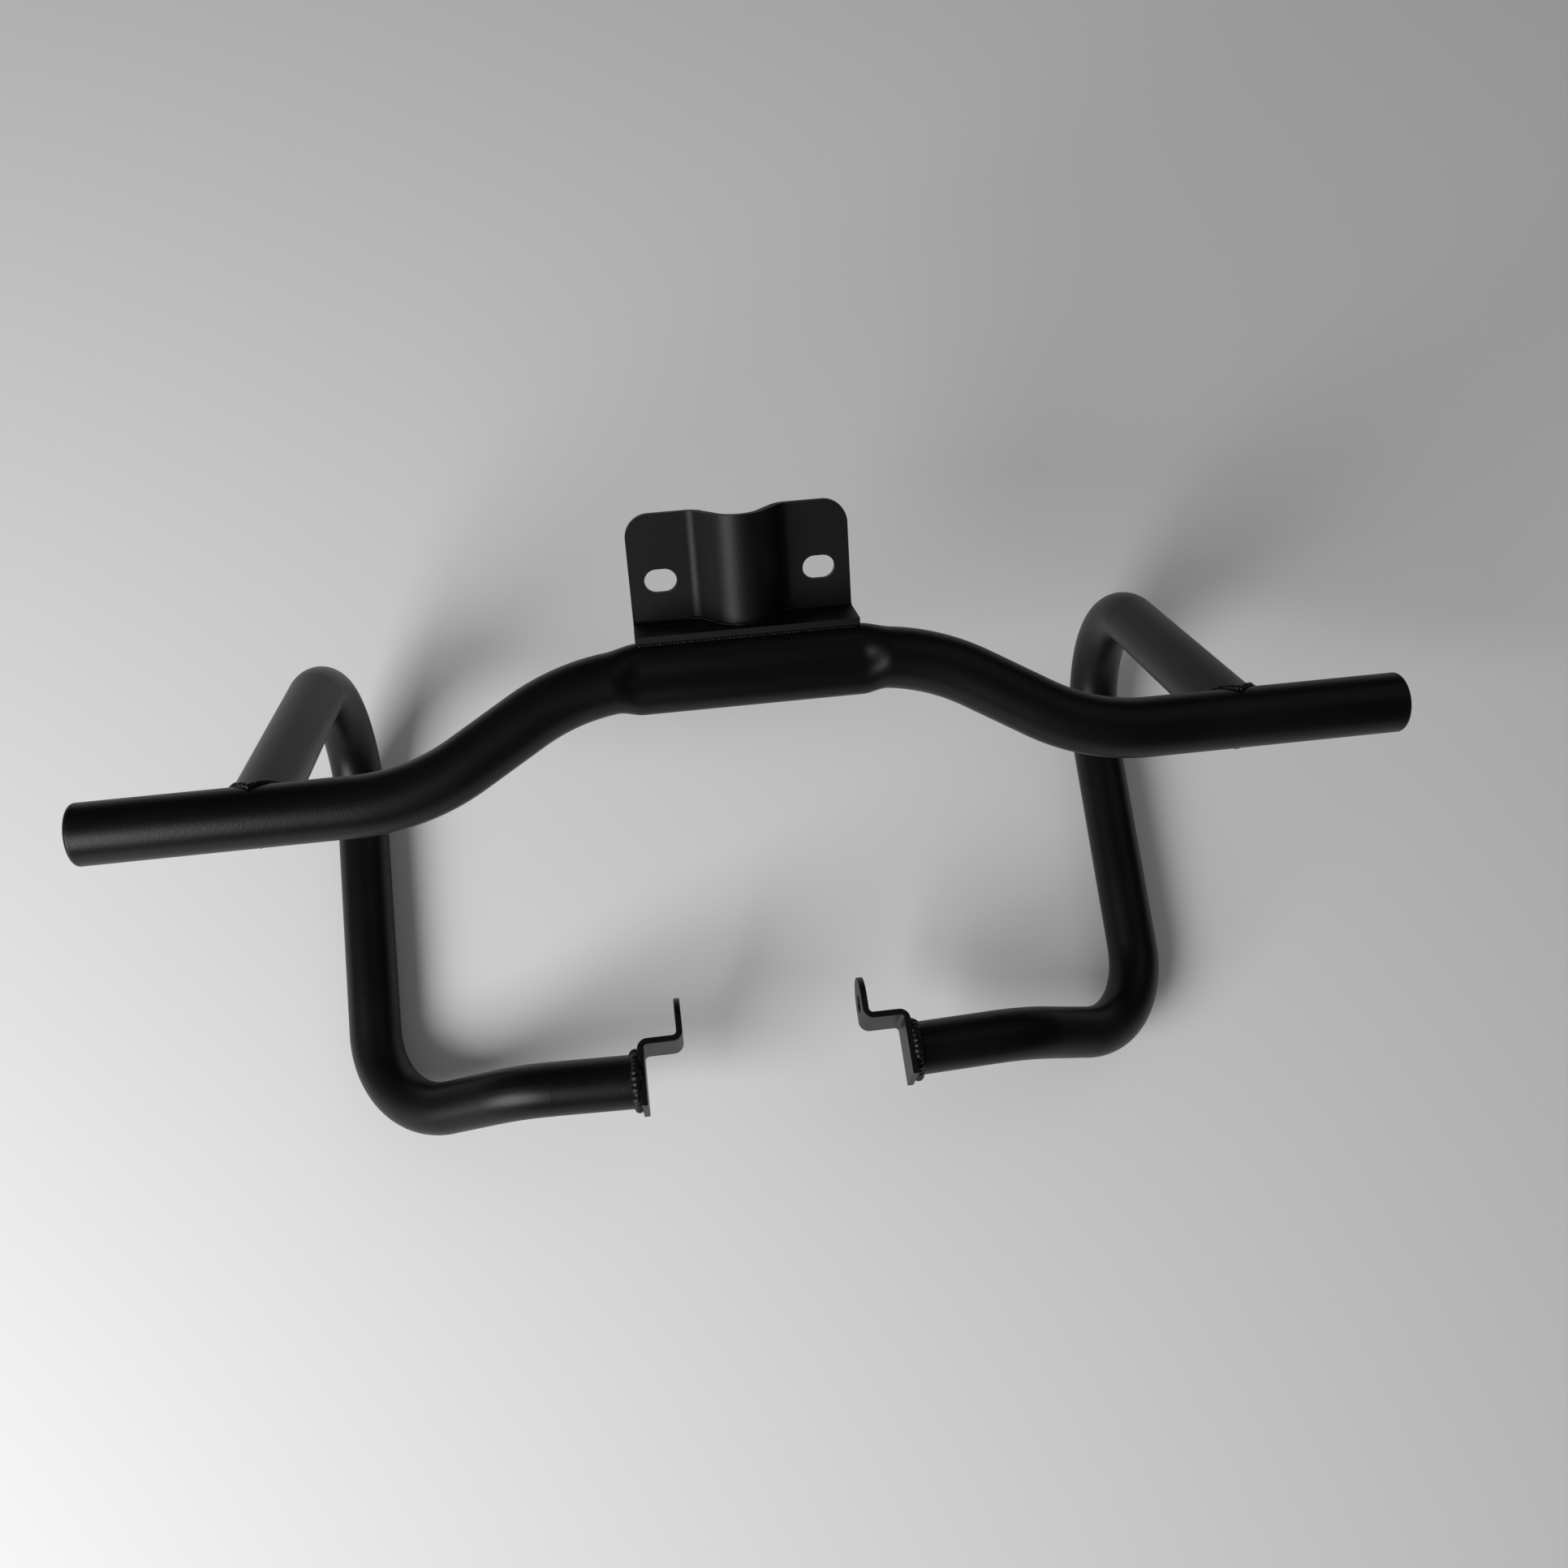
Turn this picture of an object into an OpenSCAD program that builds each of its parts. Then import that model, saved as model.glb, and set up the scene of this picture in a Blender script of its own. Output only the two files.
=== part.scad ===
// Motorcycle crash bars: a gull-shaped front bar with a saddle bracket for the frame's
// down tube, and two side loops that end in folded straps for the lower engine bolts.
// X runs across the motorcycle, +Y to the rear, +Z up along the down tube.
// The origin is the middle of the two saddle slots, on the bracket's rear face.

/* [Tube] */
// Outside diameter of every tube
tube_d = 25.4; // [22:0.2:28.6]
// Wall of every tube
tube_wall = 2; // [1.2:0.1:3]

/* [Front bar] */
// Length of the bar between its cut ends
bar_len = 540; // [470:1:640]
// Distance from the bracket's edge out to the inner bend corner
crown_run = 25.5; // [20:0.5:40]
// Distance from the inner bend corner out to the outer bend corner
slope_run = 67.5; // [62:0.5:85]
// How far the arms lie below the crown, in the bar's own plane
bar_drop = 40; // [25:1:50]
// Middle-line radius of the bar's four bends
bar_bend_r = 90; // [70:1:100]
// Lean of the bar's plane against the bracket plate, in degrees
bar_tilt = 22; // [10:1:30]
// Height of the pressed part across its two round edges
flat_h = 29.4; // [27:0.2:32]
// Length of the change from flat to round
flat_blend = 9; // [6:0.5:12]

/* [End caps] */
// How far a cap's face stands proud of the tube's cut end
cap_rise = 3; // [2:0.5:5]
// Depth of the cap's spigot inside the tube
cap_spigot = 8; // [4:0.5:15]
// Wall of the cap's spigot
cap_wall = 2; // [1:0.25:3]
// Gap round the spigot
cap_play = 0.05; // [0.02:0.01:0.2]
// Radius of the cap's rim
cap_edge_r = 2; // [1:0.25:2]

/* [Saddle bracket] */
// Thickness of the bracket's sheet
sheet_t = 3; // [2:0.5:4]
// Width of the bracket plate
plate_w = 92; // [84:1:110]
// Height of the plate above the flange
plate_h = 45; // [38:1:60]
// Radius of the plate's two upper corners
plate_corner_r = 10; // [4:0.5:12]
// Inside radius of the fold between plate and flange
fold_r = 1.5; // [1:0.25:3]
// Distance from the bar's middle line back to the plate's front face
plate_setback = 22.5; // [18:0.5:35]
// Distance between the two slots
slot_pitch = 66; // [62:0.5:68]
// Height of the slots above the flange
slot_rise = 17; // [14:0.5:24]
// Width of a slot
slot_w = 10; // [8:0.5:11]
// Length of a slot, across the motorcycle
slot_len = 13.5; // [12:0.5:15]
// How far the channel bulges to the front
channel_depth = 17; // [12:0.5:19]
// Outside radius of the channel's nose
channel_nose_r = 12.5; // [10:0.5:14]
// Slope of the channel's two flanks, in degrees
channel_slope = 55; // [45:1:65]
// Radius where a flank runs out into the plate
channel_foot_r = 5; // [3:0.5:7]

/* [Side loops] */
// Where a loop leaves the bar, out from the middle
root_out = 203; // [190:1:230]
// Top bend corner, out from the middle
top_out = 201; // [190:1:215]
// Top bend corner, back from the bar's middle line
top_back = 232; // [200:1:260]
// Top bend corner, below the bar's crown
top_down = 26; // [20:1:45]
// Heel bend corner, out from the middle
heel_out = 196.5; // [180:0.5:215]
// Heel bend corner, back from the bar's middle line
heel_back = 63; // [50:1:90]
// Heel bend corner, below the bar's crown
heel_down = 236.5; // [210:0.5:260]
// Bend in the lower leg, out from the middle
knee_out = 121; // [110:1:128]
// Bend in the lower leg, back from the bar's middle line
knee_back = 26.5; // [20:0.5:35]
// Bend in the lower leg, below the bar's crown
knee_down = 205; // [195:0.5:215]
// Tube end of the lower leg, out from the middle
foot_out = 65; // [55:1:80]
// Tube end of the lower leg, back from the bar's middle line
foot_back = 22; // [15:0.5:30]
// Tube end of the lower leg, below the bar's crown
foot_down = 204; // [195:0.5:215]
// Middle-line radius of the top bend
top_bend_r = 52; // [45:1:60]
// Middle-line radius of the heel bend
heel_bend_r = 45; // [38:1:50]
// Middle-line radius of the bend in the lower leg
knee_bend_r = 60; // [45:1:80]

/* [Straps] */
// Thickness of a strap's flat bar
strap_t = 3; // [2:0.5:5]
// Width of a strap's flat bar
strap_w = 25.4; // [22:0.2:32]
// How far a strap's end plate reaches below the tube's middle line
strap_low = 14.5; // [13:0.5:18]
// Height of the strap's step above the tube's middle line, to its upper face
strap_step_up = 17.2; // [16:0.2:22]
// Length of the step towards the middle, over both folds
strap_step_in = 22; // [18:0.5:30]
// Height of the bolt tab above the step
tab_h = 20.5; // [18:0.5:28]
// Diameter of the bolt hole in the tab
tab_hole_d = 9; // [6.5:0.5:11]
// Inside radius of the strap's folds
strap_fold_r = 2; // [1:0.25:3]
// Lean of the straps against the bracket plate, in degrees
strap_tilt = 46; // [30:1:60]

/* [Welds] */
// Leg of a weld bead
weld_leg = 3; // [2:0.25:4]

/* [Hidden] */
$fn = 64;

tube_r = tube_d / 2;
bore_r = tube_r - tube_wall;

// The pressed part is as long as the plate and keeps the way round of the round tube, so its
// depth follows from its height.
flat_len = plate_w;
crown_w = plate_w + 2 * crown_run;
shoulder_w = crown_w + 2 * slope_run;
flat_d = (PI * tube_d - 2 * flat_h) / (PI - 2);
flat_r = flat_d / 2;
flat_rise = flat_h / 2 - flat_r;
// Height of the pressed part's highest line above the bar's middle line.
crown_top = flat_r + flat_rise * cos(bar_tilt);

// Bend angle of the four bar bends, and what each takes off the straights.
bar_bend = atan2(bar_drop, (shoulder_w - crown_w) / 2);
bar_bend_run = bar_bend_r * tan(bar_bend / 2);
crown_straight = crown_w / 2 - bar_bend_run;
blend_end = flat_len / 2 + flat_blend;
// Part of the inner bend that the change from flat to round takes up.
blend_turn = asin(max(0, blend_end - crown_straight) / bar_bend_r);

// Heights and depths of the bar's middle line in the frame of the whole part.
bar_y = -sheet_t - plate_setback;
bar_z = -slot_rise - sheet_t - crown_top;
flange_top = -slot_rise;
flange_low = flange_top - sheet_t;
plate_front = -sheet_t;

// Where the two halves of the channel's outline touch, from its nose and slope.
nose_mid = channel_depth - channel_nose_r;
flank_x = channel_nose_r * sin(channel_slope);
flank_d = nose_mid + channel_nose_r * cos(channel_slope);
foot_x = flank_x + flank_d / tan(channel_slope);
foot_run = channel_foot_r * tan(channel_slope / 2);
channel_half = foot_x + foot_run;

// Angle between two points of a drawn arc.
arc_step = 5;
// Length by which two stretches of tube run into each other, so that they are one piece.
lap = 0.05;
// How much a bend's wall covers the wall of the stretches that it joins, on both faces.
skin = 0.04;
// How far the crown's highest line lies behind the bar's middle line.
crown_back = flat_rise * sin(bar_tilt);

// Corner points of the right loop's middle line, from the bar to the foot.
arm_drop = bar_drop * cos(bar_tilt);
arm_forward = bar_drop * sin(bar_tilt);
loop_points = [
  [root_out, bar_y - arm_forward, bar_z - arm_drop],
  [top_out, bar_y + top_back, bar_z - top_down],
  [heel_out, bar_y + heel_back, bar_z - heel_down],
  [knee_out, bar_y + knee_back, bar_z - knee_down],
  [foot_out, bar_y + foot_back, bar_z - foot_down]
];
loop_radii = [top_bend_r, heel_bend_r, knee_bend_r];

// Corner points of the bar's right half, in the bar's own plane.
bar_points = [
  [0, 0, 0],
  [crown_w / 2, 0, 0],
  [shoulder_w / 2, 0, -bar_drop],
  [bar_len / 2, 0, -bar_drop]
];

function unit(v) = v / norm(v);

// Turn that carries the X axis to direction x and the Z axis to direction z.
function turn_to(x, z) =
  let (y = cross(z, x))
  [atan2(y.z, z.z), atan2(-x.z, norm([x.x, x.y])), atan2(x.y, x.x)];

// Half the angle between the two legs that meet at p.
function half_angle(a, p, b) = acos(unit(a - p) * unit(b - p)) / 2;

// Point on the leg from p to q where a bend of radius r begins.
function bend_start(p, q, other, r) = p + unit(q - p) * r / tan(half_angle(q, p, other));

// Cylinder of radius r from a to b.
module rod(a, b, r) {
  d = b - a;
  translate(a)
    rotate([0, acos(d.z / norm(d)), atan2(d.y, d.x)])
      cylinder(h = norm(d), r = r);
}

// Straight stretch of hollow tube from a to b, run on past each end by a lap.
module straight(a, b, lap_a = lap, lap_b = lap) {
  d = b - a;
  translate(a)
    rotate([0, acos(d.z / norm(d)), atan2(d.y, d.x)])
      translate([0, 0, -lap_a])
        linear_extrude(norm(d) + lap_a + lap_b)
          difference() {
            circle(tube_r);
            circle(bore_r);
          }
}

// Bend of hollow tube at corner p, from the leg towards a to the leg towards b.
// The first skip degrees of the bend are left out.
module elbow(a, p, b, r, skip = 0) {
  h = half_angle(a, p, b);
  mid = p + unit(unit(a - p) + unit(b - p)) * r / sin(h);
  from = bend_start(p, a, b, r) - mid;
  to = bend_start(p, b, a, r) - mid;
  translate(mid)
    rotate(turn_to(unit(from), unit(cross(from, to))))
      rotate([0, 0, skip])
        rotate_extrude(angle = 180 - 2 * h - skip)
          translate([r, 0])
            difference() {
              circle(tube_r + skin);
              circle(bore_r - skin);
            }
}

// Mirror image across the motorcycle's middle plane for side -1.
module sided(side) {
  if (side < 0) {
    mirror([1, 0, 0]) children();
  } else {
    children();
  }
}

// Children placed in the bar's own plane, with the crown's middle line along X.
module in_bar_plane() {
  translate([0, bar_y, bar_z])
    rotate([-bar_tilt, 0, 0])
      children();
}

// Outline of the pressed part, shrunk by a wall.
module flat_outline(wall = 0) {
  for (s = [-1, 1])
    translate([0, s * flat_rise])
      circle(flat_r - wall);
  square([2 * (flat_r - wall), 2 * flat_rise], center = true);
}

// Change from the pressed part to the round tube, shrunk by a wall.
module blend(wall) {
  hull() {
    translate([flat_len / 2 - lap, 0, 0])
      rotate([90, 0, 90])
        linear_extrude(lap)
          flat_outline(wall, $fn = 32);
    translate([crown_straight, 0, -bar_bend_r])
      rotate([0, blend_turn, 0])
        translate([0, 0, bar_bend_r])
          rotate([0, 90, 0])
            cylinder(h = lap, r = tube_r - wall, $fn = 32);
  }
}

// One half of the bar, outwards from the pressed part.
module bar_half() {
  p = bar_points;
  r = bar_bend_r;
  difference() {
    blend(skin);
    blend(tube_wall - skin);
  }
  elbow(p[0], p[1], p[2], r, blend_turn);
  straight(bend_start(p[1], p[2], p[0], r), bend_start(p[2], p[1], p[3], r));
  elbow(p[1], p[2], p[3], r);
  straight(bend_start(p[2], p[3], p[1], r), p[3], lap, 0);
}

// Front bar: one tube, bent four times and pressed flat at the crown.
module front_bar() {
  color([0.07, 0.07, 0.075])
    in_bar_plane() {
      translate([-flat_len / 2, 0, 0])
        rotate([90, 0, 90])
          linear_extrude(flat_len)
            difference() {
              flat_outline();
              flat_outline(tube_wall);
            }
      for (side = [-1, 1])
        sided(side)
          bar_half();
    }
}

// Pressed cap that closes a cut end of the bar, turned about the tube's middle line.
module end_cap(side) {
  color([0.08, 0.08, 0.085])
    in_bar_plane()
      sided(side)
        translate([bar_len / 2, 0, -bar_drop])
          rotate([0, 90, 0])
            difference() {
              rotate_extrude() {
                translate([0, -cap_spigot])
                  square([bore_r - cap_play, cap_spigot + cap_rise / 2]);
                square([tube_r - cap_edge_r, cap_rise]);
                square([tube_r, cap_rise - cap_edge_r]);
                intersection() {
                  translate([tube_r - cap_edge_r, cap_rise - cap_edge_r])
                    circle(cap_edge_r);
                  square([tube_r, cap_rise]);
                }
              }
              translate([0, 0, -cap_spigot - 1])
                cylinder(h = cap_spigot + 1, r = bore_r - cap_play - cap_wall);
            }
}

// Points of an arc round c from angle a to angle b.
function arc(c, r, a, b) =
  let (n = ceil(abs(b - a) / arc_step))
  [for (i = [0:n]) c + r * [cos(a + (b - a) * i / n), sin(a + (b - a) * i / n)]];

// Right half of the channel's outline seen from above, from its foot to its nose, with the
// plate's front face at depth 0. The line lies in behind the front skin.
function channel_line(in) = concat(
  arc([channel_half, channel_foot_r], channel_foot_r + in, 270, 270 - channel_slope),
  arc([0, nose_mid], channel_nose_r - in, 90 - channel_slope, 90)
);

// The same line over its whole width, from the right foot to the left foot.
function channel_curve(in) =
  let (half = channel_line(in), n = len(half))
  concat(half, [for (i = [n - 2:-1:0]) [-half[i].x, half[i].y]]);

// Section of the channel's sheet, with its feet run on into the plate on both sides.
module channel_outline() {
  wide = channel_half + sheet_t;
  polygon(concat(
    [[wide, -sheet_t], [wide, 0]],
    channel_curve(0),
    [[-wide, 0], [-wide, -sheet_t]],
    [for (i = [len(channel_curve(sheet_t)) - 1:-1:0]) channel_curve(sheet_t)[i]]
  ));
}

// Space behind the middle of the channel's sheet, cut from the folded sheet.
module channel_cut() {
  back = -2 * sheet_t;
  polygon(concat(
    [[channel_half, back]],
    channel_curve(sheet_t / 2),
    [[-channel_half, back]]
  ));
}

// Raises an outline drawn across X and depth to the front, from height low to height high.
module raised(low, high) {
  translate([0, plate_front, low])
    mirror([0, 1, 0])
      linear_extrude(high - low)
        children();
}

// Outline of the plate from the front, from the flange up.
module plate_outline() {
  r = plate_corner_r;
  top = flange_top + plate_h;
  translate([-plate_w / 2, flange_low])
    square([plate_w, top - r - flange_low]);
  translate([-plate_w / 2 + r, flange_low])
    square([plate_w - 2 * r, top - flange_low]);
  for (side = [-1, 1])
    translate([side * (plate_w / 2 - r), top - r])
      circle(r);
}

// Outline of one slot, lying along X.
module slot_outline() {
  flat = slot_len - slot_w;
  for (side = [-1, 1])
    translate([side * flat / 2, 0])
      circle(slot_w / 2);
  square([flat, slot_w], center = true);
}

// Section of the fold from plate to flange, with the depth to the front along x.
module fold_outline() {
  outer = fold_r + sheet_t;
  translate([-sheet_t, flange_low + outer])
    square([sheet_t, plate_h + sheet_t]);
  translate([outer - sheet_t, flange_low])
    square([plate_setback - outer + sheet_t, sheet_t]);
  intersection() {
    translate([outer - sheet_t, flange_low + outer])
      difference() {
        circle(outer);
        circle(fold_r);
      }
    translate([-sheet_t, flange_low])
      square(outer);
  }
}

// Plate and flange, folded from one sheet and open where the channel goes.
module folded_sheet() {
  difference() {
    intersection() {
      translate([-plate_w / 2, plate_front, 0])
        rotate([90, 0, 90])
          linear_extrude(plate_w)
            mirror([1, 0])
              fold_outline();
      translate([0, 1, 0])
        rotate([90, 0, 0])
          linear_extrude(plate_setback + 2 * sheet_t)
            plate_outline();
    }
    raised(flange_low - 1, flange_top + plate_h + 1)
      channel_cut();
  }
}

// Folded sheet with a pressed channel: the plate bolts to the down tube, and the flange
// below it reaches forward to the crown of the bar.
module saddle_bracket() {
  color([0.09, 0.09, 0.095])
    difference() {
      union() {
        folded_sheet();
        raised(flange_low, flange_top + plate_h)
          channel_outline();
      }
      for (side = [-1, 1])
        translate([side * slot_pitch / 2, 1, 0])
          rotate([90, 0, 0])
            linear_extrude(sheet_t + 2)
              slot_outline();
    }
}

// One side loop: back from the bar, round the top bend, down, and in to the strap.
module side_loop(side) {
  p = loop_points;
  r = loop_radii;
  last = len(p) - 1;
  color([0.085, 0.085, 0.085])
    sided(side)
      difference() {
        union() {
          straight(p[0], bend_start(p[1], p[0], p[2], r[0]), 0, lap);
          for (i = [1:last - 1])
            elbow(p[i - 1], p[i], p[i + 1], r[i - 1]);
          for (i = [1:last - 2])
            straight(
              bend_start(p[i], p[i + 1], p[i - 1], r[i - 1]),
              bend_start(p[i + 1], p[i], p[i + 2], r[i])
            );
          straight(
            bend_start(p[last - 1], p[last], p[last - 2], r[last - 2]),
            p[last] + unit(p[last] - p[last - 1]) * tube_wall
          );
        }
        arm_rod(0);
        translate([foot_out - 2 * tube_d, p[last].y - tube_d, p[last].z - tube_d])
          cube([2 * tube_d, 2 * tube_d, 2 * tube_d]);
      }
}

// Outer skin of the bar's right arm, grown by over.
module arm_rod(over) {
  in_bar_plane()
    rod([shoulder_w / 2, 0, -bar_drop], [bar_len / 2, 0, -bar_drop], tube_r + over);
}

// Outer skin of a loop's first leg, grown by over, from a given distance behind the arm's
// middle line.
module leg_rod(over, behind = 0) {
  root = loop_points[0];
  top = loop_points[1];
  rod(root + unit(top - root) * behind, (root + top) / 2, tube_r + over);
}

// Children placed with the tube's foot at the origin, -X to the middle and Z up the strap.
module at_foot(side) {
  sided(side)
    translate(loop_points[4])
      rotate([-strap_tilt, 0, 0])
        children();
}

// Quarter ring of a fold with its middle at the origin, in the quadrant given by sx and sy.
module fold_ring(sx, sy) {
  outer = strap_fold_r + strap_t;
  intersection() {
    difference() {
      circle(outer);
      circle(strap_fold_r);
    }
    translate([min(0, sx * outer), min(0, sy * outer)])
      square(outer);
  }
}

// Section of a strap: end plate, step and bolt tab, with x away from the tube's end.
module strap_outline() {
  outer = strap_fold_r + strap_t;
  translate([0, -strap_low])
    square([strap_t, strap_low + strap_step_up - outer]);
  translate([outer, strap_step_up - outer])
    fold_ring(-1, 1);
  translate([outer, strap_step_up - strap_t])
    square([strap_step_in - 2 * outer, strap_t]);
  translate([strap_step_in - outer, strap_step_up - strap_t + outer])
    fold_ring(1, -1);
  translate([strap_step_in - strap_t, strap_step_up - strap_t + outer])
    square([strap_t, tab_h + strap_t - outer]);
}

// Flat bar folded twice: its plate closes the tube's end and its tab takes the engine bolt.
module strap(side) {
  tab_top = strap_step_up + tab_h;
  tab_r = strap_w / 2;
  color([0.09, 0.09, 0.09])
    at_foot(side)
      difference() {
        intersection() {
          translate([0, strap_w / 2, 0])
            rotate([90, 0, 0])
              linear_extrude(strap_w)
                mirror([1, 0])
                  strap_outline();
          union() {
            translate([-strap_step_in - 1, 0, tab_top - tab_r])
              rotate([0, 90, 0])
                cylinder(h = strap_step_in + 2, r = tab_r);
            translate([-strap_step_in - 1, -strap_w, -strap_low - 1])
              cube([strap_step_in + 2, 2 * strap_w, strap_low + 1 + tab_top - tab_r]);
          }
        }
        translate([-strap_step_in - 1, 0, tab_top - tab_r])
          rotate([0, 90, 0])
            cylinder(h = strap_t + 2, d = tab_hole_d);
      }
}

// Section of a bead drawn across depth and height, run along the flange on the crown's skin.
// The section's origin is where the flange's underside meets the crown's highest line.
module crown_bead() {
  color([0.12, 0.12, 0.12])
    difference() {
      translate([-plate_w / 2 + 1, bar_y + crown_back, flange_low])
        rotate([90, 0, 90])
          linear_extrude(plate_w - 2)
            children();
      crown_skin();
    }
}

// Bead along the flange's front edge, on the crown of the bar.
module weld_flange_front() {
  edge = -crown_back;
  crown_bead()
    polygon([
      [edge, sheet_t * 0.8],
      [edge, -weld_leg],
      [edge - weld_leg * 1.6, -weld_leg]
    ]);
}

// Bead in the corner below the flange, behind the crown of the bar.
module weld_flange_rear() {
  crown_bead()
    polygon([
      [weld_leg, 0],
      [weld_leg * 2.5, 0],
      [weld_leg * 1.8, -weld_leg],
      [weld_leg, -weld_leg]
    ]);
}

// Outer skin of the pressed part of the crown.
module crown_skin() {
  in_bar_plane()
    translate([-flat_len / 2 - tube_d, 0, 0])
      rotate([90, 0, 90])
        linear_extrude(flat_len + 2 * tube_d)
          flat_outline();
}

// Bead round the foot of the channel, on top of the flange.
module weld_channel() {
  outer = channel_curve(-weld_leg / 2);
  inner = channel_curve(0);
  color([0.12, 0.12, 0.12])
    difference() {
      raised(flange_top, flange_top + weld_leg / 2)
        polygon(concat(outer, [for (i = [len(inner) - 1:-1:0]) inner[i]]));
      folded_sheet();
    }
}

// Bead in the groove round the loop's coped end: it fills the space that is near both tubes.
module weld_loop(side) {
  color([0.12, 0.12, 0.12])
    sided(side)
      difference() {
        intersection() {
          leg_rod(weld_leg * 0.45, weld_leg / 2);
          arm_rod(weld_leg * 0.4);
        }
        leg_rod(0);
        arm_rod(0);
      }
}

// Bead round the tube's foot, against the strap's end plate.
module weld_strap(side) {
  foot = loop_points[4];
  knee = loop_points[3];
  back = unit(foot - knee) * tube_d;
  over = weld_leg * 0.6;
  color([0.12, 0.12, 0.12])
    sided(side)
      difference() {
        intersection() {
          rod(foot + back, knee, tube_r + over);
          translate([foot.x, foot.y - tube_d, foot.z - tube_d])
            cube([over, 2 * tube_d, 2 * tube_d]);
        }
        rod(foot + back, knee, tube_r);
      }
}

front_bar();
end_cap(-1);  // end_cap_left
end_cap(1);  // end_cap_right
saddle_bracket();
side_loop(-1);  // loop_left
side_loop(1);  // loop_right
strap(-1);  // strap_left
strap(1);  // strap_right
weld_flange_front();
weld_flange_rear();
weld_channel();
weld_loop(-1);  // weld_loop_left
weld_loop(1);  // weld_loop_right
weld_strap(-1);  // weld_strap_left
weld_strap(1);  // weld_strap_right
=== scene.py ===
import math

import bmesh
import bpy
from mathutils import Matrix, Vector


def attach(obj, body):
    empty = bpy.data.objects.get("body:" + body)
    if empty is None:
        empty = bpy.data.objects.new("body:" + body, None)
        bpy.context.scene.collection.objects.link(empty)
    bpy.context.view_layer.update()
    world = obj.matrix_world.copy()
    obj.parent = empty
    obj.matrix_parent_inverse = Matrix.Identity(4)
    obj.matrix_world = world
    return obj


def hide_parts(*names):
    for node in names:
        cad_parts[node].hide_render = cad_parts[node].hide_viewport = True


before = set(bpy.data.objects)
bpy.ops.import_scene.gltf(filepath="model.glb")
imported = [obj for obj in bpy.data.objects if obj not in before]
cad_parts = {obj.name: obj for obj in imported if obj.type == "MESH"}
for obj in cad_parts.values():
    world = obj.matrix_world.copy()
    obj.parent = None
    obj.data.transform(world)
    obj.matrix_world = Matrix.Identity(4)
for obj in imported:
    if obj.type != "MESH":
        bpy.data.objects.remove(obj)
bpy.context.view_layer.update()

BODY = "root"

# Sizes of the construction, in metres
TUBE_R = 0.0127
BAR_HALF = 0.270
BAR_DROP = 0.040
BAR_TILT = math.radians(22)
PLATE_HALF = 0.046
SHEET_T = 0.003
FLANGE_TOP = -0.017

# Middle of the crown, and the middle line of the arms, lower by the drop along the tilt
BAR_MIDDLE = Vector((0, -0.0255, -0.0343))
ARM_FORWARD = round(BAR_DROP * math.sin(BAR_TILT), 5)
ARM_DOWN = round(BAR_DROP * math.cos(BAR_TILT), 5)
ARM_MIDDLE = BAR_MIDDLE + Vector((0, -ARM_FORWARD, -ARM_DOWN))

# Middle line of the right side loop: where it leaves the arm, its top bend and its foot
LOOP_ROOT = ARM_MIDDLE + Vector((0.203, 0, 0))
LOOP_TOP = BAR_MIDDLE + Vector((0.201, 0.232, -0.026))
LOOP_FOOT = BAR_MIDDLE + Vector((0.065, 0.022, -0.204))

# Bends of the bar, and the lengths of the straight stretches between them
BEND_R = 0.090
SLOPE_ACROSS = 0.0675
BEND = math.atan2(BAR_DROP, SLOPE_ACROSS)
BEND_RUN = BEND_R * math.tan(BEND / 2)
CROWN_RUN = PLATE_HALF + 0.0255 - BEND_RUN
SLOPE_RUN = math.hypot(SLOPE_ACROSS, BAR_DROP) - 2 * BEND_RUN

# Pressed section of the crown, the dish in its two flats, and where it grows round again
PRESSED_H, PRESSED_D = 0.0294, 0.01841
DISH = 0.0006
ROUND_FROM, ROUND_BY = 0.0450, 0.0575

# Rings of the bar's skin: a few at the crown, close ones where it grows round, then wider ones
CROWN_RINGS = [0.0, 0.02, 0.035]
CLOSE_FROM, CLOSE_STEP, CLOSE_COUNT = 0.040, 0.0008, 36
WIDE_STEP = 0.0025
RING_POINTS = 96

# Pressed channel of the saddle bracket, seen from above
CHANNEL_SLOPE = math.radians(55)
CHANNEL_NOSE_R = 0.0125
CHANNEL_FOOT_R = 0.005
CHANNEL_NOSE_MID = 0.0045

# Sheet metal: points closer than this are one, and only edges sharper than this are broken
SAME_POINT = 2e-6
FLAT_ANGLE = math.radians(0.5)
EDGE_ANGLE = math.radians(40)
BRACKET_EDGE_R = 0.0005
STRAP_EDGE_R = 0.0006

# Beads along the flange: reach to each side, step, and depth and height of the two lines
FLANGE_BEAD_HALF = 0.044
FLANGE_BEAD_STEP = 0.004
FRONT_BEAD_AT = (-0.0256, -0.0204)
REAR_BEAD_AT = (-0.0170, -0.0217)

# How far the other beads' lines stand out of the metal, or lie in it
SEAM_OUT = 0.0003
FOOT_SINK = 0.0002
FOOT_OUT = 0.0014
CHANNEL_OUT = 0.0003
CHANNEL_UP = 0.0002

# Camera at the photograph's angle: its place, and its own right, up and back directions
LENS, SENSOR = 33.82, 36.0
CAMERA_AT = (-0.0420, -0.60195, 0.14647)
VIEW_RIGHT = Vector((0.99134, -0.11533, -0.06277))
VIEW_UP = Vector((0.10105, 0.36479, 0.92559))
VIEW_BACK = Vector((-0.08385, -0.92392, 0.37329))

# Floor: the bars lie on the backs of the two loops' long legs
LEG_UP = Vector((0, 0.6261, 0.7798))
FLOOR_BACK = Vector((0, 0.7798, -0.6261))
FLOOR_DISTANCE = 0.2118
FLOOR_DOWN = 0.05
FLOOR_REACH = 3

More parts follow.
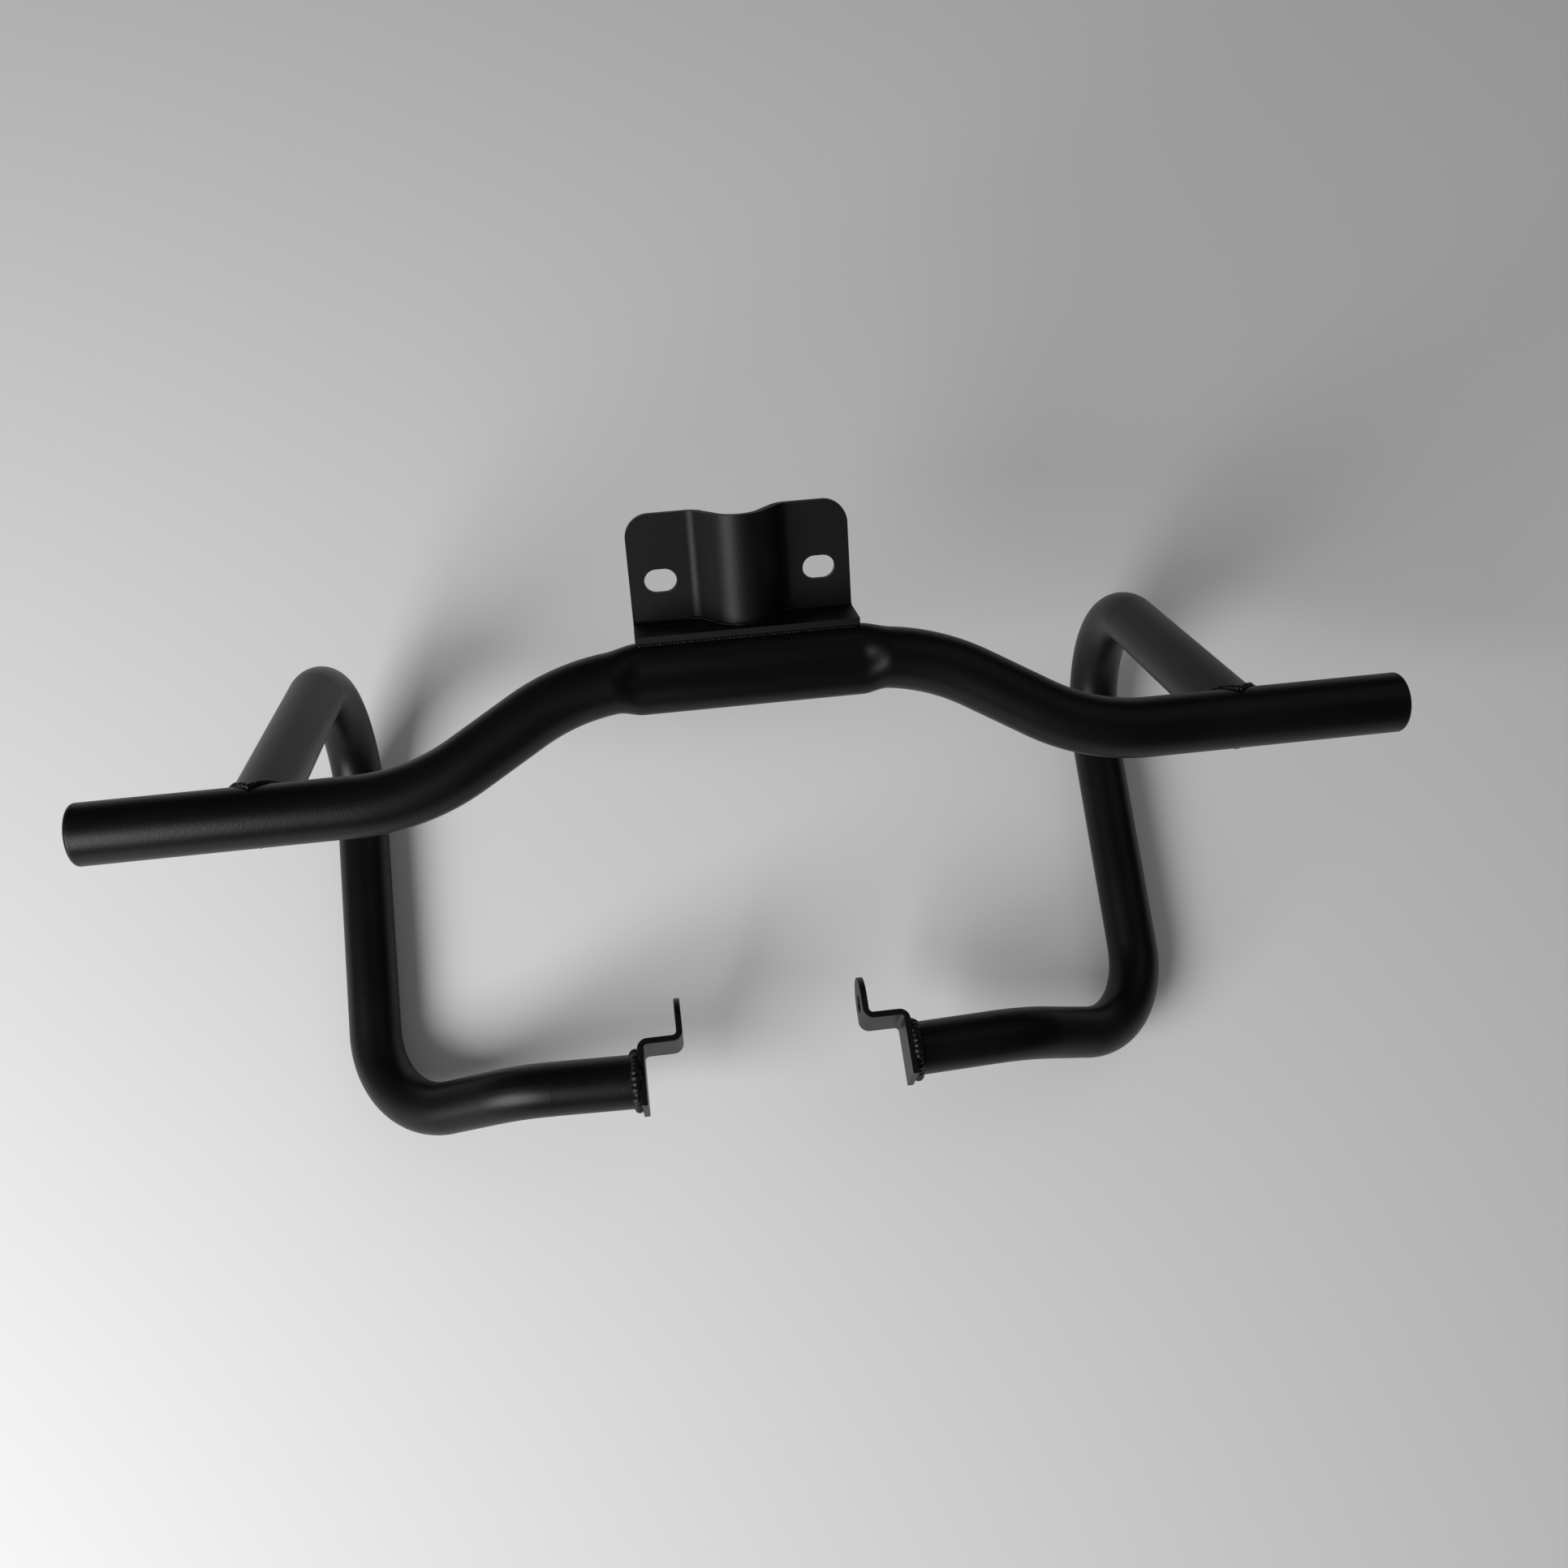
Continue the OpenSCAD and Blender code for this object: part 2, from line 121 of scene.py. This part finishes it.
# Grey values of the room, as the camera, soft reflections and the coat's shine see it
ROOM_SEEN = (0.62, 0.62, 0.625, 1)
ROOM_SOFT = (0.16, 0.16, 0.16, 1)
ROOM_SHINE = (0.012, 0.012, 0.012, 1)
LIGHT_AIM = Vector((0, 0.05, -0.13))


# Helpers
def new_object(name, data):
    thing = bpy.data.objects.new(name, data)
    bpy.context.scene.collection.objects.link(thing)
    return thing


def baked(holder):
    """Plain mesh of an object with its modifiers worked in; the object is then removed."""
    bpy.context.view_layer.update()
    evaluated = holder.evaluated_get(bpy.context.evaluated_depsgraph_get())
    mesh = bpy.data.meshes.new_from_object(evaluated)
    bpy.data.objects.remove(holder)
    return mesh


def node_in(tree, kind, **settings):
    node = tree.nodes.new(kind)
    for key, value in settings.items():
        setattr(node, key, value)
    return node


def maths(tree, operation, *values):
    """Result of a math node whose inputs are sockets or plain numbers."""
    node = node_in(tree, "ShaderNodeMath", operation=operation)
    for socket, value in zip(node.inputs, values):
        if isinstance(value, bpy.types.NodeSocket):
            tree.links.new(value, socket)
        else:
            socket.default_value = value
    return node.outputs[0]


def add_sockets(group, inputs, outputs):
    """Named inputs with their first values, and named outputs; returns the identifiers."""
    identifiers = {}
    for label, kind, value in inputs:
        socket = group.interface.new_socket(label, in_out="INPUT", socket_type=kind)
        if value is not None:
            socket.default_value = value
        identifiers[label] = socket.identifier
    for label, kind in outputs:
        group.interface.new_socket(label, in_out="OUTPUT", socket_type=kind)
    return identifiers


# Finishes
def powder_coat_group():
    """Fine orange-peel skin of a baked powder coat, with soft cloudy changes of gloss."""
    group = bpy.data.node_groups.new("powder_coat", "ShaderNodeTree")
    add_sockets(
        group,
        [
            ("Coordinates", "NodeSocketVector", (0, 0, 0)),
            ("Colour", "NodeSocketColor", (0.02, 0.02, 0.02, 1)),
            ("Worn colour", "NodeSocketColor", (0.05, 0.047, 0.043, 1)),
            ("Roughness", "NodeSocketFloat", 0.4),
            ("Roughness change", "NodeSocketFloat", 0.06),
            ("Peel size", "NodeSocketFloat", 900.0),
            ("Peel depth", "NodeSocketFloat", 0.12),
            ("Cloud size", "NodeSocketFloat", 22.0),
        ],
        [
            ("Colour", "NodeSocketColor"),
            ("Roughness", "NodeSocketFloat"),
            ("Normal", "NodeSocketVector"),
        ],
    )
    given = group.nodes.new("NodeGroupInput").outputs
    result = group.nodes.new("NodeGroupOutput").inputs
    link = group.links.new

    peel = node_in(group, "ShaderNodeTexNoise")
    peel.inputs["Detail"].default_value = 2.0
    link(given["Coordinates"], peel.inputs["Vector"])
    link(given["Peel size"], peel.inputs["Scale"])
    bump = node_in(group, "ShaderNodeBump")
    bump.inputs["Distance"].default_value = 0.0004
    link(given["Peel depth"], bump.inputs["Strength"])
    link(peel.outputs["Fac"], bump.inputs["Height"])
    link(bump.outputs["Normal"], result["Normal"])

    cloud = node_in(group, "ShaderNodeTexNoise")
    cloud.inputs["Detail"].default_value = 5.0
    link(given["Coordinates"], cloud.inputs["Vector"])
    link(given["Cloud size"], cloud.inputs["Scale"])
    swing = maths(group, "SUBTRACT", cloud.outputs["Fac"], 0.5)
    gloss = maths(group, "MULTIPLY_ADD", swing, given["Roughness change"], given["Roughness"])
    link(gloss, result["Roughness"])

    fleck = node_in(group, "ShaderNodeMapRange")
    fleck.inputs["From Min"].default_value = 0.45
    fleck.inputs["From Max"].default_value = 0.8
    link(cloud.outputs["Fac"], fleck.inputs["Value"])
    mix = node_in(group, "ShaderNodeMix", data_type="RGBA")
    link(fleck.outputs["Result"], mix.inputs["Factor"])
    link(given["Colour"], mix.inputs["A"])
    link(given["Worn colour"], mix.inputs["B"])
    link(mix.outputs["Result"], result["Colour"])
    return group


POWDER = powder_coat_group()


def coat_material(name, colour, worn, specular, **values):
    """A coated metal finish that takes its skin from the shared powder coat group."""
    material = bpy.data.materials.new(name)
    material.use_nodes = True
    tree = material.node_tree
    shader = tree.nodes["Principled BSDF"]
    where = node_in(tree, "ShaderNodeTexCoord")
    coat = node_in(tree, "ShaderNodeGroup", node_tree=POWDER)
    tree.links.new(where.outputs["Object"], coat.inputs["Coordinates"])
    coat.inputs["Colour"].default_value = (*colour, 1)
    coat.inputs["Worn colour"].default_value = (*worn, 1)
    for label, value in values.items():
        coat.inputs[label.replace("_", " ").capitalize()].default_value = value
    tree.links.new(coat.outputs["Colour"], shader.inputs["Base Color"])
    tree.links.new(coat.outputs["Roughness"], shader.inputs["Roughness"])
    tree.links.new(coat.outputs["Normal"], shader.inputs["Normal"])
    shader.inputs["Specular IOR Level"].default_value = specular
    return material


TUBE_COAT = coat_material(
    "tube powder coat",
    colour=(0.0028, 0.0028, 0.0027),
    worn=(0.0056, 0.0054, 0.0050),
    specular=0.23,
    roughness=0.38,
)
CAP_COAT = coat_material(
    "cap powder coat",
    colour=(0.0028, 0.0028, 0.0027),
    worn=(0.0050, 0.0050, 0.0048),
    specular=0.24,
    roughness=0.44,
)
BRACKET_COAT = coat_material(
    "bracket powder coat",
    colour=(0.0034, 0.0034, 0.0035),
    worn=(0.0058, 0.0058, 0.0058),
    specular=0.28,
    roughness=0.54,
)
STRAP_COAT = coat_material(
    "strap powder coat",
    colour=(0.0032, 0.0032, 0.0031),
    worn=(0.0058, 0.0056, 0.0053),
    specular=0.26,
    roughness=0.42,
)
WELD_COAT = coat_material(
    "weld powder coat",
    colour=(0.0034, 0.0034, 0.0033),
    worn=(0.0066, 0.0064, 0.0060),
    specular=0.30,
    roughness=0.38,
    roughness_change=0.1,
    peel_size=1500.0,
    peel_depth=0.3,
)


# Pieces
def add_piece(name, mesh, material, nodes):
    piece = new_object(name, mesh)
    mesh.materials.clear()
    mesh.materials.append(material)
    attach(piece, BODY)
    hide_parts(*nodes)
    return piece


def smooth(mesh):
    """Smooth shading that keeps every sharp edge."""
    mesh.shade_smooth()
    mesh.set_sharp_from_angle(angle=EDGE_ANGLE)


def rounded_copy(name, node, radius, material):
    """Copy of a sheet-metal node with its sharp edges broken by a small radius."""
    form = bmesh.new()
    form.from_mesh(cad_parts[node].data)
    bmesh.ops.remove_doubles(form, verts=form.verts, dist=SAME_POINT)
    bmesh.ops.dissolve_limit(form, angle_limit=FLAT_ANGLE, verts=form.verts, edges=form.edges)
    inner = [edge for edge in form.edges if len(edge.link_faces) == 2]
    sharp = [edge for edge in inner if edge.calc_face_angle(0) > EDGE_ANGLE]
    bmesh.ops.bevel(
        form,
        geom=sharp,
        offset=radius,
        segments=3,
        profile=0.5,
        affect="EDGES",
        clamp_overlap=True,
    )
    bmesh.ops.triangulate(form, faces=form.faces)
    bmesh.ops.recalc_face_normals(form, faces=form.faces)
    draft = bpy.data.meshes.new(name + "_draft")
    form.to_mesh(draft)
    form.free()
    smooth(draft)
    holder = new_object(name + "_draft", draft)
    even = holder.modifiers.new("flat faces stay flat", "WEIGHTED_NORMAL")
    even.keep_sharp = True
    return add_piece(name, baked(holder), material, [node])


# Front bar, drawn out with a soft press mark at the crown
def bar_station(s):
    """Place and downward slope of the bar's middle line, s along it from the middle."""
    x, z, slope = 0.0, 0.0, 0.0
    stretches = (
        (CROWN_RUN, 0),
        (BEND_R * BEND, 1),
        (SLOPE_RUN, 0),
        (BEND_R * BEND, -1),
        (1.0, 0),
    )
    for length, bend in stretches:
        run = min(s, length)
        if bend:
            end = slope + bend * run / BEND_R
            x += bend * BEND_R * (math.sin(end) - math.sin(slope))
            z += bend * BEND_R * (math.cos(end) - math.cos(slope))
            slope = end
        else:
            x += run * math.cos(slope)
            z -= run * math.sin(slope)
        s -= run
        if s <= 0:
            break
    return x, z, slope


def pressed_point(turn):
    """Point on the pressed outline, as depth and height, at an equal share of the way round."""
    round_r = PRESSED_D / 2
    rise = PRESSED_H / 2 - round_r
    corner = round_r * math.pi / 2
    way = (turn % math.pi) * TUBE_R
    if way < corner:
        a = way / round_r
        depth, height = round_r * math.sin(a), rise + round_r * math.cos(a)
    elif way < corner + 2 * rise:
        height = rise - (way - corner)
        depth = round_r - DISH * math.cos(math.pi * height / (2 * rise)) ** 2
    else:
        a = (way - 2 * rise) / round_r
        depth, height = round_r * math.sin(a), -rise + round_r * math.cos(a)
    return (depth, height) if turn % math.tau < math.pi else (-depth, -height)


def soft_step(x, low, high):
    t = min(1.0, max(0.0, (x - low) / (high - low)))
    return t * t * (3 - 2 * t)


def skin_ring(s):
    """Ring of points on the bar's skin, s along it to the right of its middle."""
    side = -1 if s < 0 else 1
    x, z, slope = bar_station(abs(s))
    roundness = soft_step(abs(s), ROUND_FROM, ROUND_BY)
    ring = []
    for i in range(RING_POINTS):
        turn = math.tau * i / RING_POINTS
        depth, height = pressed_point(turn)
        depth += (TUBE_R * math.sin(turn) - depth) * roundness
        height += (TUBE_R * math.cos(turn) - height) * roundness
        across_x = side * (x + height * math.sin(slope))
        up = z + height * math.cos(slope)
        y = BAR_MIDDLE.y + depth * math.cos(BAR_TILT) + up * math.sin(BAR_TILT)
        ring.append(
            (
                across_x,
                y,
                BAR_MIDDLE.z - depth * math.sin(BAR_TILT) + up * math.cos(BAR_TILT),
            )
        )
    return ring


def build_bar():
    """Outer skin of the bent bar, pressed at the crown and closed behind its two caps."""
    length = CROWN_RUN + SLOPE_RUN + 2 * BEND_R * BEND
    length += BAR_HALF - bar_station(length)[0]
    half = CROWN_RINGS + [CLOSE_FROM + CLOSE_STEP * i for i in range(CLOSE_COUNT)]
    rest = length - half[-1]
    steps = int(rest / WIDE_STEP)
    half += [half[-1] + rest * (i + 1) / steps for i in range(steps)]
    stations = [-s for s in reversed(half[1:])] + half
    points = [point for s in stations for point in skin_ring(s)]
    faces = []
    for row in range(len(stations) - 1):
        for i in range(RING_POINTS):
            a = row * RING_POINTS + i
            b = row * RING_POINTS + (i + 1) % RING_POINTS
            faces.append((a, b, b + RING_POINTS, a + RING_POINTS))
    last = (len(stations) - 1) * RING_POINTS
    faces.append(tuple(range(RING_POINTS)))
    faces.append(tuple(last + i for i in range(RING_POINTS)))
    mesh = bpy.data.meshes.new("bar_skin")
    mesh.from_pydata(points, [], faces)
    form = bmesh.new()
    form.from_mesh(mesh)
    bmesh.ops.recalc_face_normals(form, faces=form.faces)
    form.to_mesh(mesh)
    form.free()
    smooth(mesh)
    return add_piece("bar_skin", mesh, TUBE_COAT, ["front_bar"])


# Weld beads
def bead_group():
    """Overlapping ripples laid along a drawn line, each one turned along the line."""
    group = bpy.data.node_groups.new("bead_ripples", "GeometryNodeTree")
    sockets = add_sockets(
        group,
        [
            ("Geometry", "NodeSocketGeometry", None),
            ("Ripple spacing", "NodeSocketFloat", 0.0012),
            ("Bead half width", "NodeSocketFloat", 0.0018),
            ("Ripple length", "NodeSocketFloat", 0.0016),
            ("Unevenness", "NodeSocketFloat", 0.12),
            ("Seed", "NodeSocketInt", 3),
            ("Finish", "NodeSocketMaterial", None),
        ],
        [("Geometry", "NodeSocketGeometry")],
    )
    given = group.nodes.new("NodeGroupInput").outputs
    result = group.nodes.new("NodeGroupOutput").inputs
    link = group.links.new

    line = node_in(group, "GeometryNodeMeshToCurve")
    link(given["Geometry"], line.inputs[0])
    points = node_in(group, "GeometryNodeCurveToPoints", mode="LENGTH")
    link(line.outputs[0], points.inputs["Curve"])
    link(given["Ripple spacing"], points.inputs["Length"])
    ball = node_in(group, "GeometryNodeMeshIcoSphere")
    ball.inputs["Radius"].default_value = 1.0
    ball.inputs["Subdivisions"].default_value = 4

    uneven = node_in(group, "FunctionNodeRandomValue", data_type="FLOAT")
    low, high = [socket for socket in uneven.inputs if socket.type == "VALUE" and socket.enabled]
    link(maths(group, "SUBTRACT", 1.0, given["Unevenness"]), low)
    link(maths(group, "ADD", 1.0, given["Unevenness"]), high)
    link(given["Seed"], uneven.inputs["Seed"])
    share = next(socket for socket in uneven.outputs if socket.enabled)
    width = maths(group, "MULTIPLY", given["Bead half width"], share)
    scale = node_in(group, "ShaderNodeCombineXYZ")
    link(width, scale.inputs["X"])
    link(width, scale.inputs["Y"])
    link(given["Ripple length"], scale.inputs["Z"])

    placed = node_in(group, "GeometryNodeInstanceOnPoints")
    link(points.outputs["Points"], placed.inputs["Points"])
    link(ball.outputs["Mesh"], placed.inputs["Instance"])
    link(points.outputs["Rotation"], placed.inputs["Rotation"])
    link(scale.outputs["Vector"], placed.inputs["Scale"])
    real = node_in(group, "GeometryNodeRealizeInstances")
    link(placed.outputs["Instances"], real.inputs["Geometry"])
    finish = node_in(group, "GeometryNodeSetMaterial")
    link(real.outputs["Geometry"], finish.inputs["Geometry"])
    link(given["Finish"], finish.inputs["Material"])
    link(finish.outputs["Geometry"], result["Geometry"])
    return group, sockets


BEAD, BEAD_SOCKETS = bead_group()


def weld_bead(name, node, line, half_width, spacing, length, seed, uneven=0.12, closed=False):
    """One weld bead along a line of points."""
    draft = bpy.data.meshes.new(name + "_line")
    edges = [(i, i + 1) for i in range(len(line) - 1)]
    if closed:
        edges.append((len(line) - 1, 0))
    draft.from_pydata([tuple(point) for point in line], edges, [])
    holder = new_object(name + "_line", draft)
    ripples = holder.modifiers.new("ripples", "NODES")
    ripples.node_group = BEAD
    ripples[BEAD_SOCKETS["Ripple spacing"]] = spacing
    ripples[BEAD_SOCKETS["Bead half width"]] = half_width
    ripples[BEAD_SOCKETS["Ripple length"]] = length
    ripples[BEAD_SOCKETS["Unevenness"]] = uneven
    ripples[BEAD_SOCKETS["Seed"]] = seed
    ripples[BEAD_SOCKETS["Finish"]] = WELD_COAT
    mesh = baked(holder)
    mesh.shade_smooth()
    return add_piece(name, mesh, WELD_COAT, [node])


def across(side, point):
    return Vector((side * point.x, point.y, point.z))


def loop_seam(side, count=96):
    """Line round the loop's coped end, where the skins of leg and arm meet."""
    along = (LOOP_TOP - LOOP_ROOT).normalized()
    up = Vector((1, 0, 0)).cross(along).normalized()
    out = along.cross(up).normalized()
    line = []
    for i in range(count):
        turn = math.tau * i / count
        ray = math.cos(turn) * up + math.sin(turn) * out
        start = LOOP_ROOT + TUBE_R * ray - ARM_MIDDLE
        a = along.y ** 2 + along.z ** 2
        b = start.y * along.y + start.z * along.z
        c = start.y ** 2 + start.z ** 2 - TUBE_R ** 2
        reach = (-b + math.sqrt(max(0.0, b * b - a * c))) / a
        point = LOOP_ROOT + TUBE_R * ray + reach * along
        line.append(across(side, point + SEAM_OUT * ray + SEAM_OUT * along))
    return line


def foot_ring(side, count=72):
    """Ring round the tube's foot, on the strap's end plate."""
    line = []
    for i in range(count):
        turn = math.tau * i / count
        ray = Vector((0, math.cos(turn), math.sin(turn)))
        point = LOOP_FOOT + (TUBE_R - FOOT_SINK) * ray + Vector((FOOT_OUT, 0, 0))
        line.append(across(side, point))
    return line


def channel_line(foot_steps=8, nose_steps=12):
    """Line along the foot of the pressed channel, on top of the flange."""
    slope, nose_r, foot_r = CHANNEL_SLOPE, CHANNEL_NOSE_R, CHANNEL_FOOT_R
    flank = CHANNEL_NOSE_MID + nose_r * math.cos(slope)
    foot_x = nose_r * math.sin(slope) + flank / math.tan(slope) + foot_r * math.tan(slope / 2)
    half = []
    for i in range(foot_steps + 1):
        turn = math.radians(270) - slope * i / foot_steps
        half.append((foot_x + foot_r * math.cos(turn), foot_r + foot_r * math.sin(turn)))
    for i in range(nose_steps + 1):
        turn = math.pi / 2 - slope + slope * i / nose_steps
        half.append((nose_r * math.cos(turn), CHANNEL_NOSE_MID + nose_r * math.sin(turn)))
    full = half + [(-x, d) for x, d in reversed(half[:-1])]
    front = -SHEET_T - CHANNEL_OUT
    return [Vector((x, front - d, FLANGE_TOP + CHANNEL_UP)) for x, d in full]


def flange_line(place):
    """Straight line along the flange, at a given depth and height."""
    steps = round(2 * FLANGE_BEAD_HALF / FLANGE_BEAD_STEP)
    return [
        Vector((i * FLANGE_BEAD_STEP - FLANGE_BEAD_HALF, *place)) for i in range(steps + 1)
    ]


def build_side(side, word):
    """Strap and weld beads of one side."""
    rounded_copy(
        f"strap_{word}_sheet", f"strap_{word}", STRAP_EDGE_R, STRAP_COAT
    )
    weld_bead(
        f"loop_bead_{word}",
        f"weld_loop_{word}",
        loop_seam(side),
        half_width=0.0014,
        spacing=0.0012,
        length=0.0012,
        seed=5 + side,
        closed=True,
    )
    weld_bead(
        f"strap_bead_{word}",
        f"weld_strap_{word}",
        foot_ring(side),
        half_width=0.0024,
        spacing=0.0026,
        length=0.0024,
        seed=9 + side,
        uneven=0.22,
        closed=True,
    )


def build_bracket_beads():
    """The two beads along the flange, and the bead at the channel's foot."""
    weld_bead(
        "front_flange_bead",
        "weld_flange_front",
        flange_line(FRONT_BEAD_AT),
        half_width=0.0007,
        spacing=0.0014,
        length=0.0014,
        seed=21,
    )
    weld_bead(
        "rear_flange_bead",
        "weld_flange_rear",
        flange_line(REAR_BEAD_AT),
        half_width=0.0018,
        spacing=0.0014,
        length=0.0014,
        seed=22,
    )
    weld_bead(
        "channel_bead",
        "weld_channel",
        channel_line(),
        half_width=0.0006,
        spacing=0.0011,
        length=0.0010,
        seed=23,
        uneven=0.35,
    )


build_bar()
rounded_copy("bracket_sheet", "saddle_bracket", BRACKET_EDGE_R, BRACKET_COAT)
build_side(-1, "left")
build_side(1, "right")
build_bracket_beads()

# The loops and the end caps are shown as the solids themselves
CAD_FINISH = {
    "loop_left": TUBE_COAT,
    "loop_right": TUBE_COAT,
    "end_cap_left": CAP_COAT,
    "end_cap_right": CAP_COAT,
}
for node, material in CAD_FINISH.items():
    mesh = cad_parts[node].data
    mesh.materials.clear()
    mesh.materials.append(material)


# Camera, floor and light
def set_camera():
    data = bpy.data.cameras.new("camera")
    data.sensor_width = SENSOR
    data.lens = LENS
    camera = new_object("camera", data)
    axes = Matrix((VIEW_RIGHT, VIEW_UP, VIEW_BACK)).transposed()
    camera.matrix_world = Matrix.Translation(CAMERA_AT) @ axes.to_4x4()
    bpy.context.scene.camera = camera
    bpy.context.scene.view_settings.view_transform = "Standard"


def pale_floor():
    """Matt pale surface that is clear from behind, so that it hides nothing in a rear view."""
    material = bpy.data.materials.new("pale floor")
    material.use_nodes = True
    tree = material.node_tree
    shader = tree.nodes["Principled BSDF"]
    shader.inputs["Base Color"].default_value = (0.80, 0.80, 0.805, 1)
    shader.inputs["Roughness"].default_value = 0.85
    side = node_in(tree, "ShaderNodeNewGeometry")
    clear = node_in(tree, "ShaderNodeBsdfTransparent")
    mix = node_in(tree, "ShaderNodeMixShader")
    tree.links.new(side.outputs["Backfacing"], mix.inputs["Fac"])
    tree.links.new(shader.outputs["BSDF"], mix.inputs[1])
    tree.links.new(clear.outputs["BSDF"], mix.inputs[2])
    tree.links.new(mix.outputs["Shader"], tree.nodes["Material Output"].inputs["Surface"])
    return material


def lay_floor():
    middle = FLOOR_BACK * FLOOR_DISTANCE - LEG_UP * FLOOR_DOWN
    aside = Vector((FLOOR_REACH, 0, 0))
    upward = FLOOR_REACH * LEG_UP
    corners = [middle - aside - upward, middle + aside - upward]
    corners += [middle + aside + upward, middle - aside + upward]
    mesh = bpy.data.meshes.new("floor")
    mesh.from_pydata([tuple(corner) for corner in corners], [], [(0, 1, 2, 3)])
    floor = new_object("floor", mesh)
    mesh.materials.append(pale_floor())


def soft_light(name, right, up, back, size, power):
    """Square softbox placed from the object along the camera's own directions."""
    light = bpy.data.lights.new(name, "AREA")
    light.shape = "SQUARE"
    light.size = size
    light.energy = power
    lamp = new_object(name, light)
    lamp.location = LIGHT_AIM + right * VIEW_RIGHT + up * VIEW_UP + back * VIEW_BACK
    lamp.rotation_euler = (LIGHT_AIM - lamp.location).to_track_quat("-Z", "Y").to_euler()


def light_room():
    """Pale room behind the bars, dim where it shines in the coat."""
    world = bpy.data.worlds.new("pale room")
    bpy.context.scene.world = world
    world.use_nodes = True
    room = world.node_tree
    path = node_in(room, "ShaderNodeLightPath")
    soft = node_in(room, "ShaderNodeMix", data_type="RGBA")
    soft.inputs["A"].default_value = ROOM_SHINE
    soft.inputs["B"].default_value = ROOM_SOFT
    room.links.new(path.outputs["Is Diffuse Ray"], soft.inputs["Factor"])
    shade = node_in(room, "ShaderNodeMix", data_type="RGBA")
    shade.inputs["B"].default_value = ROOM_SEEN
    room.links.new(path.outputs["Is Camera Ray"], shade.inputs["Factor"])
    room.links.new(soft.outputs["Result"], shade.inputs["A"])
    room.links.new(shade.outputs["Result"], room.nodes["Background"].inputs["Color"])


set_camera()
lay_floor()
soft_light("main softbox", right=-0.95, up=-0.62, back=1.15, size=0.9, power=27)
soft_light("upper fill", right=0.9, up=1.2, back=1.2, size=1.4, power=1.5)
light_room()
